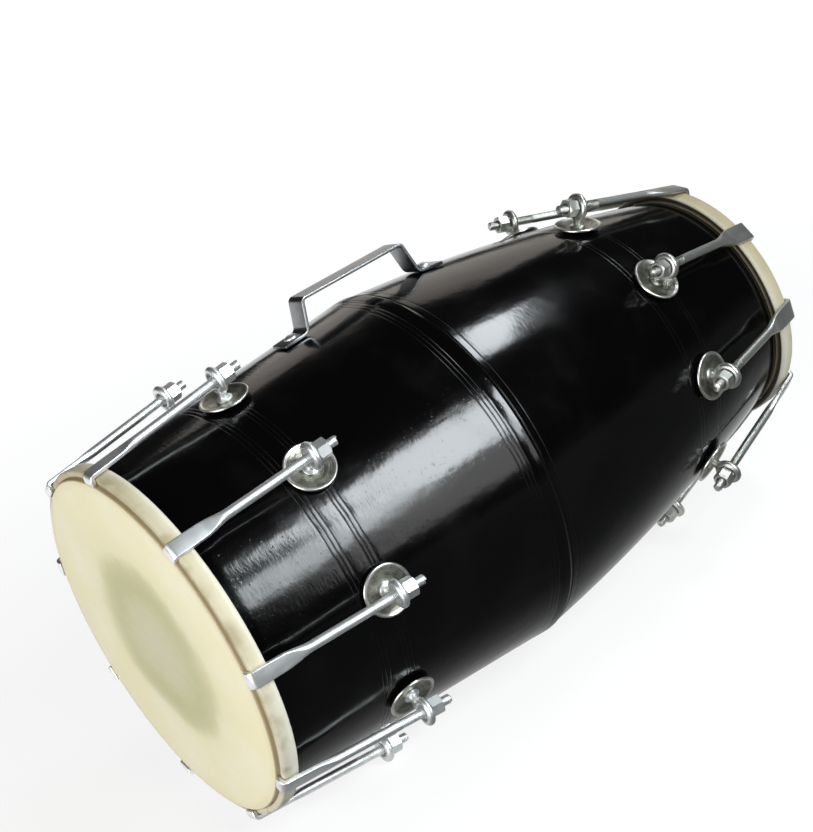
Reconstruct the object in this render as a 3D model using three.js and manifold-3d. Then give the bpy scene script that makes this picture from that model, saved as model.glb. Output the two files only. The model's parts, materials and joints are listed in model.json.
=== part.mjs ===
// Dholak: a two-headed barrel drum of lacquered wood. Each goatskin head is held by a hoop, and
// nine threaded hooks pull each hoop home through eyebolts that are bolted to the shell.
import * as THREE from "three";
import { mergeVertices } from "three/addons/utils/BufferGeometryUtils.js";
import Module from "manifold-3d";

const wasm = await Module();
wasm.setup();

// Driving dimensions, in millimetres. Places along the drum run from a playing face.
const drumLength = 480;
const bellyRadius = 127.5;
const bellyPlace = 219;
const bassSwell = -1;
const trebleSwell = 6;
const shellWall = 13;
const shoulder = 0.6;
const edgeRound = 2.5;
const beltWidth = 6;
const beltHeight = 0.5;

const bassHoopRadius = 120;
const trebleHoopRadius = 88.5;
const hoopThickness = 4.5;
const hoopDepth = 11;
const hoopSetBack = 2.5;
const hoopChamfer = 1;
const skinThickness = 1.2;
const pasteRadius = 52;
const pasteHeight = 2.5;

const hooksPerHead = 9;
const bassEyePlace = 98;
const trebleEyePlace = 99;
const eyeHeight = 15.5;
const eyeWire = 5;
const eyeBore = 8.5;
const shankDiameter = 6;
const cupDiameter = 32;
const cupFloorDiameter = 18;
const cupRise = 2.2;
const cupThickness = 1.3;
const innerNutWidth = 10;
const innerNutThickness = 5;

const rodDiameter = 6;
const rodStub = 7;
const bassBladeWidth = 10;
const trebleBladeWidth = 13;
const bladeThickness = 3;
const bladeLength = 24;
const flareLength = 13;
const bendRadius = 2;
const nutWidth = 11;
const nutThickness = 8;

const gripLength = 83;
const gripPlace = 220;
const gripHeight = 19.5;
const gripWidth = 18;
const gripThickness = 2.2;
const gripBend = 4;
const gripSplay = 3;
const footLength = 20;
const screwHeadDiameter = 9;
const screwHeadHeight = 2.5;
const screwDiameter = 4;
const screwLength = 10;

// Angles about the drum's axis, in degrees. Zero is straight up, and positive leans to the front.
const trebleTwist = 4.8;
const gripLean = -10.7;

// Clearances between neighbouring pieces, and the overrun of a cut past a face.
const seatGap = 0.3;
const rodPlay = 0.35;
const overrun = 1;

// Numbers of flat sides on round pieces.
const shellSides = 40;
const cupSides = 10;
const rodSides = 8;
const boreSteps = 5;
const eyeSides = 12;
const wireSides = 5;
const bassSteps = 3;
const trebleSteps = 5;
const bendSteps = 3;

const hoopRear = hoopSetBack + hoopDepth;
const rimDepth = hoopRear + seatGap;
const pitch = 360 / hooksPerHead;
const radians = THREE.MathUtils.degToRad;

// One record for each end of the drum. Within an end, "place" is the distance in from its face.
const ends = [
  {
    name: "bass",
    hoopRadius: bassHoopRadius,
    half: bellyPlace,
    swell: bassSwell,
    steps: bassSteps,
    eyePlace: bassEyePlace,
    bladeWidth: bassBladeWidth,
    twist: 0,
    pasted: true,
    heading: 0,
  },
  {
    name: "treble",
    hoopRadius: trebleHoopRadius,
    half: drumLength - bellyPlace,
    swell: trebleSwell,
    steps: trebleSteps,
    eyePlace: trebleEyePlace,
    bladeWidth: trebleBladeWidth,
    twist: trebleTwist,
    pasted: false,
    heading: Math.PI,
  },
];

const lacquer = new THREE.MeshStandardMaterial({ color: 0x0b0b0d, roughness: 0.18, metalness: 0 });
const goatskin = new THREE.MeshStandardMaterial({ color: 0xe9dfb6, roughness: 0.6, metalness: 0 });
const lapped = new THREE.MeshStandardMaterial({ color: 0xd9caa0, roughness: 0.7, metalness: 0 });
const plated = new THREE.MeshStandardMaterial({ color: 0xc9ccd2, roughness: 0.25, metalness: 1 });
const chromed = new THREE.MeshStandardMaterial({ color: 0xd8dade, roughness: 0.12, metalness: 1 });

// Turns a closed geometry into a solid that can be joined and cut.
function solidOf(geometry) {
  const bare = geometry.index ? geometry.toNonIndexed() : geometry.clone();
  bare.deleteAttribute("normal");
  bare.deleteAttribute("uv");
  const merged = mergeVertices(bare, 1e-4);
  const vertProperties = merged.attributes.position.array;
  const triVerts = new Uint32Array(merged.index.array);
  return new wasm.Manifold(new wasm.Mesh({ numProp: 3, vertProperties, triVerts }));
}

// Turns a solid back into a geometry with flat faces.
function geometryOf(solid) {
  const mesh = solid.getMesh();
  const geometry = new THREE.BufferGeometry();
  geometry.setAttribute("position", new THREE.BufferAttribute(mesh.vertProperties, 3));
  geometry.setIndex(new THREE.BufferAttribute(mesh.triVerts, 1));
  const flat = geometry.toNonIndexed();
  flat.computeVertexNormals();
  return flat;
}

const joined = (...geometries) =>
  geometryOf(geometries.map(solidOf).reduce((whole, next) => whole.add(next)));

// A solid of revolution about X. Its outline of (place, radius) pairs starts and ends on the
// axis, or goes once round without touching it.
function turned(outline, sides) {
  const points = outline.map(([place, radius]) => new THREE.Vector2(radius, place));
  if (points[0].x) points.push(points[0].clone());
  if (THREE.ShapeUtils.isClockWise(points)) points.reverse();
  return new THREE.LatheGeometry(points, sides).rotateZ(-Math.PI / 2);
}

// A round bar whose axis starts at a point of the XZ plane and runs along a direction in it.
function bar(radius, length, sides, start, direction) {
  const along = new THREE.Vector3(direction.x, 0, direction.y);
  const turn = new THREE.Quaternion().setFromUnitVectors(new THREE.Vector3(0, 1, 0), along);
  return new THREE.CylinderGeometry(radius, radius, length, sides)
    .translate(0, length / 2, 0)
    .applyQuaternion(turn)
    .translate(start.x, 0, start.y);
}

// A plate whose outline lies in the XZ plane, as wide along Y as asked and centred there.
function sidePlate(shape, width) {
  return new THREE.ExtrudeGeometry(shape, {
    depth: width,
    bevelEnabled: false,
    curveSegments: bendSteps,
  })
    .translate(0, 0, -width / 2)
    .rotateX(Math.PI / 2);
}

// A hexagonal prism along X, centred on the X axis and starting at the origin.
function hexPrism(acrossFlats, thickness, bore) {
  const outline = new THREE.Shape();
  for (let corner = 0; corner < 6; corner += 1) {
    const angle = (corner * Math.PI) / 3;
    const reach = acrossFlats / Math.sqrt(3);
    outline[corner ? "lineTo" : "moveTo"](reach * Math.cos(angle), reach * Math.sin(angle));
  }
  outline.closePath();
  if (bore) outline.holes.push(new THREE.Path().absarc(0, 0, bore / 2, 0, 2 * Math.PI, true));
  return new THREE.ExtrudeGeometry(outline, {
    depth: thickness,
    bevelEnabled: false,
    curveSegments: boreSteps,
  }).rotateY(Math.PI / 2);
}

// Shell: straight rims under the hoops, then two long arcs that meet at the belly.
const rimRadius = (end) => end.hoopRadius - hoopThickness - 2 * seatGap - skinThickness;

function shellRadius(end, place) {
  const rim = rimRadius(end);
  if (place <= rimDepth) return rim;
  const share = (place - rimDepth) / (end.half - rimDepth);
  const rise = bellyRadius - rim - shoulder;
  return rim + shoulder + rise * share + 4 * end.swell * share * (1 - share);
}

function shellSlope(end, place) {
  const share = (place - rimDepth) / (end.half - rimDepth);
  const rise = bellyRadius - rimRadius(end) - shoulder;
  return (rise + 4 * end.swell * (1 - 2 * share)) / (end.half - rimDepth);
}

// Places of the shell's outer rings, from past the rim to the foot of the belt.
function shellPlaces(end) {
  const run = end.half - beltWidth / 2 - rimDepth;
  return Array.from({ length: end.steps }, (_, step) => rimDepth + (run * (step + 1)) / end.steps);
}

function shellOutline(end) {
  const face = skinThickness + seatGap;
  const rim = rimRadius(end);
  const inside = rim - shellWall;
  const belt = end.half - beltWidth / 2;
  const outer = shellPlaces(end).map((place) => [place, shellRadius(end, place)]);
  const inner = [belt, end.eyePlace].map((place) => [place, shellRadius(end, place) - shellWall]);
  return [
    ...inner,
    [face + edgeRound, inside],
    [face, inside + edgeRound],
    [face, rim - edgeRound],
    [face + edgeRound, rim],
    [rimDepth, rim],
    [rimDepth, rim + shoulder],
    ...outer,
    [belt, bellyRadius + beltHeight],
  ];
}

// Maps a place counted in from an end's face to one along the drum, zero at mid-length.
const along = (end, place) => (end.heading ? drumLength / 2 - place : place - drumLength / 2);

function makeShell(cutters) {
  const [bass, treble] = ends.map((end) =>
    shellOutline(end).map(([place, radius]) => [along(end, place), radius]),
  );
  const body = solidOf(turned([...bass, ...treble.reverse()], shellSides));
  return geometryOf(cutters.reduce((whole, cutter) => whole.subtract(cutter), body));
}

// Skin: a flat face with a skirt that hangs between the shell's rim and the hoop. The bass
// skin carries a low disc of tuning paste on its inner side.
function makeSkin(end) {
  const inside = rimRadius(end) + seatGap;
  const outside = inside + skinThickness;
  const under = skinThickness + pasteHeight;
  const paste = [
    [skinThickness, pasteRadius],
    [under, pasteRadius - 2 * pasteHeight],
    [under, 0],
  ];
  return turned(
    [
      [0, 0],
      [0, outside - skinThickness],
      [skinThickness, outside],
      [hoopRear, outside],
      [hoopRear, inside],
      [skinThickness, inside],
      ...(end.pasted ? paste : [[skinThickness, 0]]),
    ],
    shellSides,
  );
}

// Hoop: a flat band with its corners taken off, wrapped in the lapped edge of the skin.
function makeHoop(end) {
  const outside = end.hoopRadius;
  const inside = outside - hoopThickness;
  return turned(
    [
      [hoopSetBack, inside],
      [hoopRear, inside],
      [hoopRear, outside - hoopChamfer],
      [hoopRear - hoopChamfer, outside],
      [hoopSetBack + hoopChamfer, outside],
      [hoopSetBack, outside - hoopChamfer],
    ],
    shellSides,
  );
}

// The line of an end's tension hooks in its XZ plane, where X is the place and Z the radius.
function hookLine(end) {
  const lean = Math.atan(shellSlope(end, end.eyePlace));
  const normal = new THREE.Vector2(-Math.sin(lean), Math.cos(lean));
  const foot = new THREE.Vector2(end.eyePlace, shellRadius(end, end.eyePlace));
  const eye = foot.clone().addScaledVector(normal, eyeHeight);
  const corner = new THREE.Vector2(hoopSetBack, end.hoopRadius);
  const toEye = eye.clone().sub(corner);
  const lift = Math.asin((bladeThickness / 2 + seatGap) / toEye.length());
  const slope = Math.atan2(toEye.y, toEye.x) - lift;
  const inward = new THREE.Vector2(Math.cos(slope), Math.sin(slope));
  return { normal, foot, eye, slope, inward };
}

// Eyebolt: the eye, its shank through the wall, the dished cup under it and the nut inside.
function makeEyebolt(end) {
  const { normal, foot, eye, slope } = hookLine(end);
  const lean = Math.atan2(-normal.x, normal.y);
  const wire = eyeWire / 2;
  const ringRadius = eyeBore / 2 + wire;
  const eyeRing = new THREE.TorusGeometry(ringRadius, wire, wireSides, eyeSides)
    .rotateY(Math.PI / 2 - slope)
    .translate(eye.x, 0, eye.y);
  const shank = shankDiameter / 2;
  const floor = cupFloorDiameter / 2;
  const rim = cupDiameter / 2;
  const top = ringRadius - eyeHeight;
  const cupTop = seatGap + cupThickness;
  const nutTop = shellWall / Math.cos(lean) + 3 * seatGap;
  const stem = turned(
    [
      [top, 0],
      [top, shank],
      [-cupTop, shank],
      [-cupTop, floor],
      [-cupTop - cupRise, rim - cupThickness / 2],
      [-seatGap - cupRise, rim],
      [-seatGap, floor],
      [-seatGap, shank],
      [nutTop + innerNutThickness / 2, shank],
      [nutTop + innerNutThickness / 2, 0],
    ],
    cupSides,
  );
  const nut = hexPrism(innerNutWidth, innerNutThickness, 0).translate(nutTop, 0, 0);
  for (const shape of [stem, nut]) {
    shape.rotateY(Math.PI / 2 - lean).translate(foot.x, 0, foot.y);
  }
  return joined(eyeRing, stem, nut);
}

// Hook: a threaded rod that flares into a flat blade, whose end is bent down over the hoop.
function makeHook(end) {
  const { eye, slope, inward } = hookLine(end);
  const half = bladeThickness / 2;
  const edge = end.bladeWidth / 2;
  const lineAt = (place) => eye.y + (place - eye.x) * Math.tan(slope);
  const offset = half / Math.cos(slope);
  const lipInner = hoopSetBack - seatGap;
  const lipOuter = lipInner - bladeThickness;
  const lipEnd = end.hoopRadius - hoopThickness + seatGap;
  const bladeStart = lipOuter + (bladeLength + flareLength) * Math.cos(slope);
  const side = new THREE.Shape();
  side.moveTo(bladeStart, lineAt(bladeStart) - offset);
  side.lineTo(lipInner, lineAt(lipInner) - offset);
  side.lineTo(lipInner, lipEnd);
  side.lineTo(lipOuter, lipEnd);
  side.lineTo(lipOuter, lineAt(lipOuter) + offset - bendRadius);
  side.quadraticCurveTo(
    lipOuter,
    lineAt(lipOuter) + offset,
    lipOuter + bendRadius,
    lineAt(lipOuter + bendRadius) + offset,
  );
  side.lineTo(bladeStart, lineAt(bladeStart) + offset);
  side.closePath();
  const rodRadius = rodDiameter / 2;
  const flareStart = bladeStart + overrun;
  const flareEnd = bladeStart - flareLength;
  const plan = new THREE.Shape();
  plan.moveTo(flareStart, -rodRadius);
  plan.quadraticCurveTo(bladeStart - flareLength / 2, -rodRadius, flareEnd, -edge);
  plan.lineTo(lipOuter - overrun, -edge);
  plan.lineTo(lipOuter - overrun, edge);
  plan.lineTo(flareEnd, edge);
  plan.quadraticCurveTo(bladeStart - flareLength / 2, rodRadius, flareStart, rodRadius);
  plan.closePath();
  const low = lipEnd - overrun;
  const high = lineAt(flareStart) + bladeThickness;
  const planBlock = new THREE.ExtrudeGeometry(plan, {
    depth: high - low,
    bevelEnabled: false,
    curveSegments: bendSteps,
  }).translate(0, 0, low);
  const blade = solidOf(sidePlate(side, end.bladeWidth + overrun)).intersect(solidOf(planBlock));
  const tail = eyeWire / 2 + seatGap + nutThickness + rodStub;
  const rodEnd = eye.clone().addScaledVector(inward, tail);
  const reach = tail + (eye.x - bladeStart) / Math.cos(slope) + flareLength / 2;
  const rod = bar(rodRadius, reach, rodSides, rodEnd, inward.clone().negate());
  return geometryOf(solidOf(rod).add(blade));
}

// Nut: bears on the far side of the eye, and draws the hook inwards as it turns.
function makeNut(end) {
  const { eye, slope, inward } = hookLine(end);
  const seat = eye.clone().addScaledVector(inward, eyeWire / 2 + seatGap);
  return hexPrism(nutWidth, nutThickness, rodDiameter + 2 * rodPlay)
    .rotateY(-slope)
    .translate(seat.x, 0, seat.y);
}

// The shell's radius and slope at a place counted from the bass face, whichever end it is in.
function surfaceAt(place) {
  const nearBass = place < bellyPlace;
  const end = ends[nearBass ? 0 : 1];
  const own = nearBass ? place : drumLength - place;
  const slope = shellSlope(end, own) * (nearBass ? 1 : -1);
  return { radius: shellRadius(end, own), slope };
}

// Handle: one bent strip with a foot at each end, and the round-headed screws that hold it.
function gripFeet() {
  return [-1, 1].map((side) => {
    const bend = gripPlace + side * (gripLength / 2 + gripSplay);
    const screw = bend + (side * footLength) / 2;
    const { radius, slope } = surfaceAt(screw);
    const level = (place) => radius + seatGap + (place - screw) * slope;
    return { side, bend, screw, slope, level };
  });
}

function makeHandle(feet) {
  const [left, right] = feet;
  const outer = (foot) => foot.bend + foot.side * footLength;
  const inner = (foot) => foot.bend + foot.side * gripThickness;
  const top = bellyRadius + gripHeight;
  const x = (place) => place - drumLength / 2;
  const shape = new THREE.Shape();
  const corner = gripLength / 2;
  shape.moveTo(x(outer(left)), left.level(outer(left)));
  shape.lineTo(x(left.bend), left.level(left.bend));
  shape.lineTo(x(gripPlace - corner + gripThickness), top - gripThickness - gripBend / 2);
  shape.quadraticCurveTo(
    x(gripPlace - corner + gripThickness),
    top - gripThickness,
    x(gripPlace - corner + gripThickness + gripBend / 2),
    top - gripThickness,
  );
  shape.lineTo(x(gripPlace + corner - gripThickness - gripBend / 2), top - gripThickness);
  shape.quadraticCurveTo(
    x(gripPlace + corner - gripThickness),
    top - gripThickness,
    x(gripPlace + corner - gripThickness),
    top - gripThickness - gripBend / 2,
  );
  shape.lineTo(x(right.bend), right.level(right.bend));
  shape.lineTo(x(outer(right)), right.level(outer(right)));
  shape.lineTo(x(outer(right)), right.level(outer(right)) + gripThickness);
  shape.lineTo(x(inner(right)), right.level(inner(right)) + gripThickness);
  shape.lineTo(x(gripPlace + corner), top - gripBend);
  shape.quadraticCurveTo(x(gripPlace + corner), top, x(gripPlace + corner - gripBend), top);
  shape.lineTo(x(gripPlace - corner + gripBend), top);
  shape.quadraticCurveTo(x(gripPlace - corner), top, x(gripPlace - corner), top - gripBend);
  shape.lineTo(x(inner(left)), left.level(inner(left)) + gripThickness);
  shape.lineTo(x(outer(left)), left.level(outer(left)) + gripThickness);
  shape.closePath();
  const screws = feet.map((foot) => makeScrew(foot));
  return joined(sidePlate(shape, gripWidth), ...screws);
}

// The axis of a foot's screw, from the foot's top face, pointing into the wood.
function screwAxis(foot) {
  const inwards = new THREE.Vector2(foot.slope, -1).normalize();
  const start = new THREE.Vector2(foot.screw - drumLength / 2, foot.level(foot.screw));
  start.addScaledVector(inwards, -gripThickness);
  return { inwards, start };
}

function makeScrew(foot) {
  const { inwards, start } = screwAxis(foot);
  const radius = screwHeadDiameter / 2;
  const under = gripThickness / 2;
  const tip = gripThickness + screwLength;
  return turned(
    [
      [-screwHeadHeight, 0],
      [-screwHeadHeight, radius / 2],
      [-screwHeadHeight / 2, radius],
      [under, radius],
      [under, screwDiameter / 2],
      [tip - screwDiameter / 2, screwDiameter / 2],
      [tip, 0],
    ],
    rodSides,
  )
    .rotateY(Math.atan2(-inwards.y, inwards.x))
    .translate(start.x, 0, start.y);
}

// Scene graph: the drum's axis is X, and each end's group looks inwards from its own face.
function piece(name, geometry, material) {
  const mesh = new THREE.Mesh(geometry, material);
  mesh.name = name;
  return mesh;
}

const drum = new THREE.Group();
const shellCutters = [];

for (const end of ends) {
  const group = new THREE.Group();
  group.position.x = along(end, 0);
  group.rotation.z = end.heading;
  group.add(piece(`${end.name}_skin`, makeSkin(end), goatskin));
  group.add(piece(`${end.name}_hoop`, makeHoop(end), lapped));
  const hook = makeHook(end);
  const nut = makeNut(end);
  const eyebolt = makeEyebolt(end);
  const { normal, foot } = hookLine(end);
  const boreLength = shellWall * 2;
  const boreTop = foot.clone().addScaledVector(normal, overrun);
  const boreRadius = shankDiameter / 2 + rodPlay;
  const bore = bar(boreRadius, boreLength, rodSides, boreTop, normal.clone().negate());
  for (let index = 0; index < hooksPerHead; index += 1) {
    const station = new THREE.Group();
    const lean = radians(end.twist + index * pitch);
    station.rotation.x = end.heading ? -lean : lean;
    station.add(piece(`${end.name}_hook_${index + 1}`, hook, plated));
    station.add(piece(`${end.name}_nut_${index + 1}`, nut, plated));
    station.add(piece(`${end.name}_eyebolt_${index + 1}`, eyebolt, plated));
    group.add(station);
    group.updateMatrixWorld(true);
    shellCutters.push(solidOf(bore.clone().applyMatrix4(station.matrixWorld)));
  }
  drum.add(group);
}

const handleGroup = new THREE.Group();
handleGroup.rotation.x = radians(gripLean);
const feet = gripFeet();
handleGroup.add(piece("handle", makeHandle(feet), chromed));
handleGroup.updateMatrixWorld(true);
for (const foot of feet) {
  const { inwards, start } = screwAxis(foot);
  const depth = gripThickness + screwLength + overrun;
  const pilot = bar(screwDiameter / 2 + rodPlay, depth, rodSides, start, inwards);
  shellCutters.push(solidOf(pilot.applyMatrix4(handleGroup.matrixWorld)));
}
drum.add(handleGroup);
drum.add(piece("shell", makeShell(shellCutters), lacquer));

// At rest the drum lies on its lowest eyes, which tips the narrow end down a little.
const eyeReach = (end) => {
  const fromBottom = Math.min(
    ...Array.from({ length: hooksPerHead }, (_, index) =>
      Math.abs(end.twist + index * pitch - 180),
    ),
  );
  return hookLine(end).eye.y * Math.cos(radians(fromBottom)) + eyeBore / 2 + eyeWire;
};
const [bassReach, trebleReach] = ends.map(eyeReach);
const eyeSpan = along(ends[1], hookLine(ends[1]).eye.x) - along(ends[0], hookLine(ends[0]).eye.x);
drum.rotation.y = Math.atan2(bassReach - trebleReach, eyeSpan);

// The origin is under the middle of the drum, on the surface that it lies on.
const model = new THREE.Group();
model.add(drum);
model.updateMatrixWorld(true);
const bounds = new THREE.Box3().setFromObject(drum, true);
const middle = bounds.getCenter(new THREE.Vector3());
drum.position.set(-middle.x, -middle.y, -bounds.min.z);
model.updateMatrixWorld(true);

export default model;
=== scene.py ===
# %% [markdown]
# # A dholak, piece by piece
# A dholak is a two-headed barrel drum. A turned wooden shell carries a wide bass head and a
# narrow treble head, and threaded hooks pull each head tight. Every hard piece already exists
# as a imported CAD solid with the right place and size. This script builds the finer shapes and
# finishes that a camera sees. It starts by loading the CAD frame.

# %% Load the frame
import json
import math
import random

import bmesh
import bpy
from mathutils import Euler, Matrix, Vector


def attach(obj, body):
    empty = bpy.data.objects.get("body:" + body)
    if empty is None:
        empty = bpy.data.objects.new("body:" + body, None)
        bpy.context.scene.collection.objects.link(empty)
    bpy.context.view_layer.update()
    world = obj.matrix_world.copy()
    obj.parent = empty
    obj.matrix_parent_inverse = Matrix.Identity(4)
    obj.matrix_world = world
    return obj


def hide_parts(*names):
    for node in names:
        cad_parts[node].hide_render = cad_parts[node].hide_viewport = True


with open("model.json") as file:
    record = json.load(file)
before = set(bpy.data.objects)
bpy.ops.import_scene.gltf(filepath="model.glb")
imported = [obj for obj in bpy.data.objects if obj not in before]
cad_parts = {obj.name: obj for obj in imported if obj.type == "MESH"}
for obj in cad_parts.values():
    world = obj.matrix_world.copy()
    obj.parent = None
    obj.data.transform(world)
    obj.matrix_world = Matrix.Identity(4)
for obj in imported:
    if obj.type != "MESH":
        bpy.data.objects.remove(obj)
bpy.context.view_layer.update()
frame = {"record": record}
scene = bpy.context.scene

# %% [markdown]
# ## The drum's own frame
# The drum rests on its tuning eyes, so its axis leans a little. Modelling is easier in a
# frame whose X runs along the drum, from the bass head to the treble head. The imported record
# gives the middle of each head, which is enough to build that frame. Modelling is in
# millimetres, and one matrix brings each piece to its place in metres.

# %% Find the axis between the two heads
MM = 0.001
mounts = {mount["name"]: Vector(mount["pos_m"]) for mount in frame["record"]["mounts"]}
bass_head, treble_head = mounts["bass_head"], mounts["treble_head"]
drum_length = (treble_head - bass_head).length / MM
axis_x = (treble_head - bass_head).normalized()
axis_y = Vector((0, 1, 0))
axis_z = axis_x.cross(axis_y)
DRUM = Matrix((axis_x, axis_y, axis_z)).transposed().to_4x4()
DRUM.translation = (bass_head + treble_head) / 2
DRUM_MM = DRUM @ Matrix.Scale(MM, 4)
print("Drum length, mm:", round(drum_length, 1))

# %% [markdown]
# ## Sizes
# These are the sizes of the CAD solids, in millimetres, so that each visual piece lies in the
# space of the solid it stands for. A "place" is a distance in from a playing face. The shell
# is a straight rim at each end and two long arcs that meet at the belly. Only a hook's blade
# and flare differ: the flare is longer and smoother here.

# %% Sizes of the drum
BELLY_RADIUS, BELLY_PLACE, WALL, SHOULDER = 127.5, 219, 13, 0.6
HOOP_THICKNESS, HOOP_DEPTH, HOOP_SET_BACK = 4.5, 11, 2.5
SKIN, GAP = 1.2, 0.3
EYE_HEIGHT, EYE_WIRE, EYE_BORE, SHANK = 15.5, 5, 8.5, 6
CUP, CUP_FLOOR, CUP_RISE, CUP_SHEET = 32, 18, 2.2, 1.3
ROD, BLADE_SHEET, BLADE, FLARE, STUB = 6, 3, 18, 18, 7
NUT_WIDTH, NUT_DEPTH, BORE = 11, 8, 6.7
INNER_NUT_WIDTH, INNER_NUT_DEPTH = 10, 5
PASTE_RADIUS, PASTE_RISE = 52, 2.5
HOOKS = 9
BELT, BELT_SLOPE, BELT_STEP = (BELLY_PLACE - 3, BELLY_PLACE + 3), 0.085, 0.1
GROOVES = [(79.5, 0.08), (82.5, 0.08), (85.5, 0.08), (96.5, 0.08), (99, 0.08), (102, 0.08),
           (207.7, 0.07), (210.6, 0.07), (213.5, 0.09), (224.5, 0.3), (229.8, 0.05),
           (365, 0.06), (368.5, 0.06), (386, 0.06), (388.8, 0.06)]
GROOVE_REACH = 0.65
ENDS = {
    "bass": {"hoop": 120, "half": BELLY_PLACE, "swell": -1, "eye": 98, "twist": 0,
             "blade": 10, "facing": -1},
    "treble": {"hoop": 88.5, "half": drum_length - BELLY_PLACE, "swell": 6, "eye": 99,
               "twist": 4.8, "blade": 13, "facing": 1},
}
HOOP_REAR = HOOP_SET_BACK + HOOP_DEPTH
RIM_DEPTH = HOOP_REAR + GAP


def rim_radius(end):
    return end["hoop"] - HOOP_THICKNESS - 2 * GAP - SKIN


def shell_curve(end, place):
    """The shell's outer radius and its slope, at a place in from one end's face."""
    rim, span = rim_radius(end), end["half"] - RIM_DEPTH
    if place <= RIM_DEPTH:
        return rim, 0
    share = (place - RIM_DEPTH) / span
    rise = BELLY_RADIUS - rim - SHOULDER
    radius = rim + SHOULDER + rise * share + 4 * end["swell"] * share * (1 - share)
    return radius, (rise + 4 * end["swell"] * (1 - 2 * share)) / span


for name, end in ENDS.items():
    print(name, "rim radius:", round(rim_radius(end), 2))

# %% [markdown]
# ## Two matrices for repeated pieces
# Each end of the drum is modelled once, looking inwards from its face. The treble end is the
# same frame turned half way round. Nine hooks stand around each head, so a second turn about
# the drum's axis carries a piece to its station.

# %% Frames of the two ends and of the nine stations


def end_frame(name):
    face = Matrix.Translation((ENDS[name]["facing"] * drum_length / 2, 0, 0))
    turn = Matrix.Rotation(0 if name == "bass" else math.pi, 4, "Z")
    return DRUM_MM @ face @ turn


def station_frame(name, index):
    lean = math.radians(ENDS[name]["twist"] + (index - 1) * 360 / HOOKS)
    return end_frame(name) @ Matrix.Rotation(-ENDS[name]["facing"] * lean, 4, "X")


DRUM_FRAME = end_frame("bass")
print("Stations on each head:", HOOKS)

# %% [markdown]
# ## Helpers that finish a shape
# A bmesh holds a shape while it is modelled. To finish it, doubled vertices are merged, the
# faces are turned outwards, and the shape is moved to its place inside the mesh. The object
# stays at the origin, unturned, so that patterns and poses behave. Edges sharper than a given
# angle stay crisp.

# %% Finish a bmesh as a piece of the drum


def cleaned(shape):
    bmesh.ops.remove_doubles(shape, verts=shape.verts, dist=1e-3)
    bmesh.ops.recalc_face_normals(shape, faces=shape.faces)


def meshed(shape, name, crisp=32):
    cleaned(shape)
    mesh = bpy.data.meshes.new(name)
    shape.to_mesh(mesh)
    shape.free()
    mesh.polygons.foreach_set("use_smooth", [True] * len(mesh.polygons))
    mesh.set_sharp_from_angle(angle=math.radians(crisp))
    return mesh


def add(name, data):
    item = bpy.data.objects.new(name, data)
    scene.collection.objects.link(item)
    return item


def settle(mesh, name, place, material, slot, body, *stands_for):
    data = mesh.copy()
    data.name = name
    data.transform(place)
    data.materials.append(material)
    piece = add(name, data)
    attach(piece, body)
    if stands_for:
        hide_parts(*stands_for)
    return piece


print("Finishing helpers are ready")

# %% [markdown]
# ## Turning, as on a lathe
# The shell, the heads, the hoops and the washers are all turned shapes. An outline of place
# and radius is laid in the XZ plane and spun once round the X axis. Spinning with use_merge
# closes the seam, and an outline that touches the axis closes there as well.

# %% Turn an outline about the X axis


def spun(shape, outline, steps):
    bmesh.ops.spin(shape, geom=outline, cent=(0, 0, 0), axis=(1, 0, 0), angle=2 * math.pi,
                   steps=steps, use_merge=True)


def turned(outline, steps, closed=False):
    shape = bmesh.new()
    verts = [shape.verts.new((place, 0, radius)) for place, radius in outline]
    edges = [shape.edges.new(pair) for pair in zip(verts, verts[1:])]
    if closed:
        edges.append(shape.edges.new((verts[-1], verts[0])))
    spun(shape, verts + edges, steps)
    return shape


print("Lathe helpers are ready")

# %% [markdown]
# ## Writing finishes as sums
# A finish is a small program of shader nodes. Wiring nodes by hand hides the idea, so a socket
# is wrapped in a class that knows how to add and multiply. Then a mask can be written as
# 1 - distance * 3. Colours need a Mix node, because arithmetic nodes turn them grey.

# %% A socket that can stand in a sum


class Wire:
    def __init__(self, finish, socket):
        self.finish, self.socket = finish, socket

    def maths(self, operation, *terms):
        return self.finish.node("Math", dict(enumerate(terms)), operation=operation)

    def __add__(self, other):
        return self.maths("ADD", self, other)

    def __mul__(self, other):
        return self.maths("MULTIPLY", self, other)

    def __sub__(self, other):
        return self.maths("SUBTRACT", self, other)

    def __rsub__(self, other):
        return self.maths("SUBTRACT", other, self)

    __radd__, __rmul__ = __add__, __mul__

    def __abs__(self):
        return self.maths("ABSOLUTE", self)

    def between(self, low, high):
        """0 below low, 1 above high, and a smooth step from one to the other."""
        return self.finish.node(
            "MapRange", {"Value": self, "From Min": low, "From Max": high},
            interpolation_type="SMOOTHSTEP")


# %% [markdown]
# ## A finish and its nodes
# One class holds a material. Its node method takes any node type, its sockets and then its
# settings. More methods cover what nearly every finish here needs: a noise whose grain is
# given in millimetres, a relief, and coordinates that follow the drum instead of the room.

# %% A material that is built from named steps


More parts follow.
